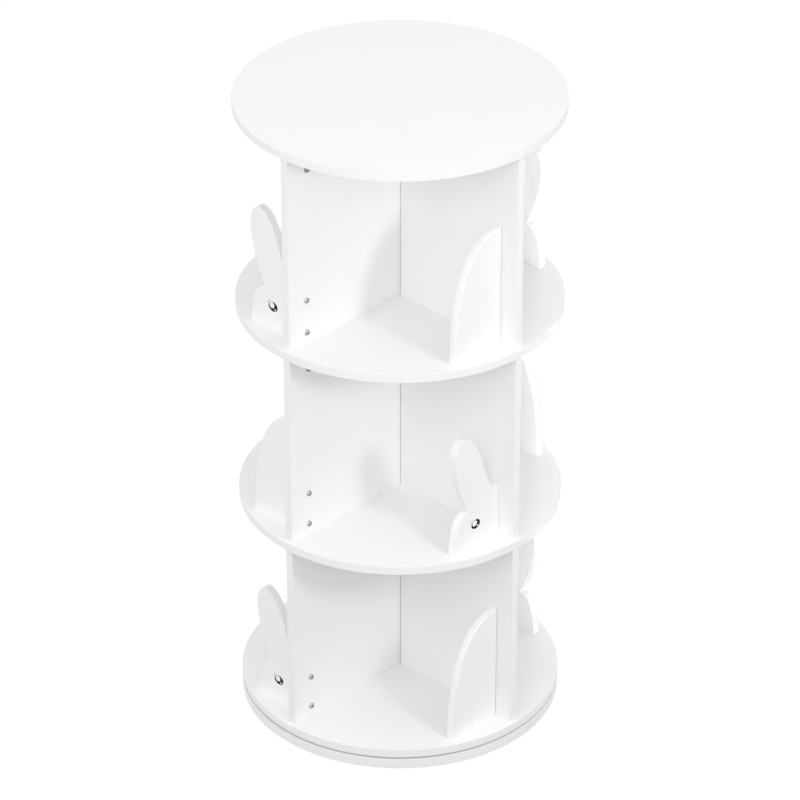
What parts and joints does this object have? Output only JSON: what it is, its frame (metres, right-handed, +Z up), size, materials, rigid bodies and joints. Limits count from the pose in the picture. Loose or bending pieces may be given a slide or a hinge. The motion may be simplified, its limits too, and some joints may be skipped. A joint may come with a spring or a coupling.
{
  "type": "revolving bookcase",
  "caption": "Round three-tier bookcase that turns on a fixed base, with crossed walls and shaped book stops in each tier",
  "frame": {"origin": "centre of the base where it meets the floor, on the turning axis", "axes": "+Z up along the turning axis; the through walls lie along X and the half walls along Y"},
  "size_m": [0.46, 0.46, 0.9603],
  "materials": {
    "white_laminate": "white melamine laminate on particle board, satin",
    "zinc_plated_steel": "zinc plated",
    "grey_rubber": "matte",
    "white_edge_band": "white plastic edge band, 1 mm, satin",
    "black_print": "black ink printed on the board, satin"
  },
  "bodies": {
    "base": {"base_disc": "white_laminate", "turntable_lower_plate": "zinc_plated_steel", "foot_pad_1": "grey_rubber", "foot_pad_2": "grey_rubber", "foot_pad_3": "grey_rubber", "foot_pad_4": "grey_rubber", "foot_pad_5": "grey_rubber", "foot_pad_6": "grey_rubber"},
    "ball_ring": {"ball_ring": "zinc_plated_steel"},
    "carousel": {"turntable_upper_plate": "zinc_plated_steel", "bottom_disc": "white_laminate", "lower_shelf": "white_laminate", "upper_shelf": "white_laminate", "top_disc": "white_laminate", "lower_through_wall": "white_laminate", "lower_back_half_wall": "white_laminate", "lower_front_half_wall": "white_laminate", "lower_right_rabbit_stop": "white_laminate", "lower_right_low_screw": "zinc_plated_steel", "lower_right_high_screw": "zinc_plated_steel", "lower_back_plain_stop": "white_laminate", "lower_back_low_screw": "zinc_plated_steel", "lower_back_high_screw": "zinc_plated_steel", "lower_left_rabbit_stop": "white_laminate", "lower_left_low_screw": "zinc_plated_steel", "lower_left_high_screw": "zinc_plated_steel", "lower_front_plain_stop": "white_laminate", "lower_front_low_screw": "zinc_plated_steel", "lower_front_high_screw": "zinc_plated_steel", "middle_through_wall": "white_laminate", "middle_back_half_wall": "white_laminate", "middle_front_half_wall": "white_laminate", "middle_right_plain_stop": "white_laminate", "middle_right_low_screw": "zinc_plated_steel", "middle_right_high_screw": "zinc_plated_steel", "middle_back_rabbit_stop": "white_laminate", "middle_back_low_screw": "zinc_plated_steel", "middle_back_high_screw": "zinc_plated_steel", "middle_left_plain_stop": "white_laminate", "middle_left_low_screw": "zinc_plated_steel", "middle_left_high_screw": "zinc_plated_steel", "middle_front_rabbit_stop": "white_laminate", "middle_front_low_screw": "zinc_plated_steel", "middle_front_high_screw": "zinc_plated_steel", "upper_through_wall": "white_laminate", "upper_back_half_wall": "white_laminate", "upper_front_half_wall": "white_laminate", "upper_right_rabbit_stop": "white_laminate", "upper_right_low_screw": "zinc_plated_steel", "upper_right_high_screw": "zinc_plated_steel", "upper_back_plain_stop": "white_laminate", "upper_back_low_screw": "zinc_plated_steel", "upper_back_high_screw": "zinc_plated_steel", "upper_left_rabbit_stop": "white_laminate", "upper_left_low_screw": "zinc_plated_steel", "upper_left_high_screw": "zinc_plated_steel", "upper_front_plain_stop": "white_laminate", "upper_front_low_screw": "zinc_plated_steel", "upper_front_high_screw": "zinc_plated_steel"}
  },
  "joints": [
    {"name": "carousel_spin", "type": "hinge", "parent": "base", "child": "carousel", "pos_m": [0, 0, 0.0193], "axis": [0, 0, 1], "continuous": true},
    {"name": "ball_ring_spin", "type": "hinge", "parent": "base", "child": "ball_ring", "pos_m": [0, 0, 0.0193], "axis": [0, 0, 1], "continuous": true}
  ],
  "couplings": [
    {"joint": "ball_ring_spin", "follows": "carousel_spin", "ratio": 0.5}
  ]
}
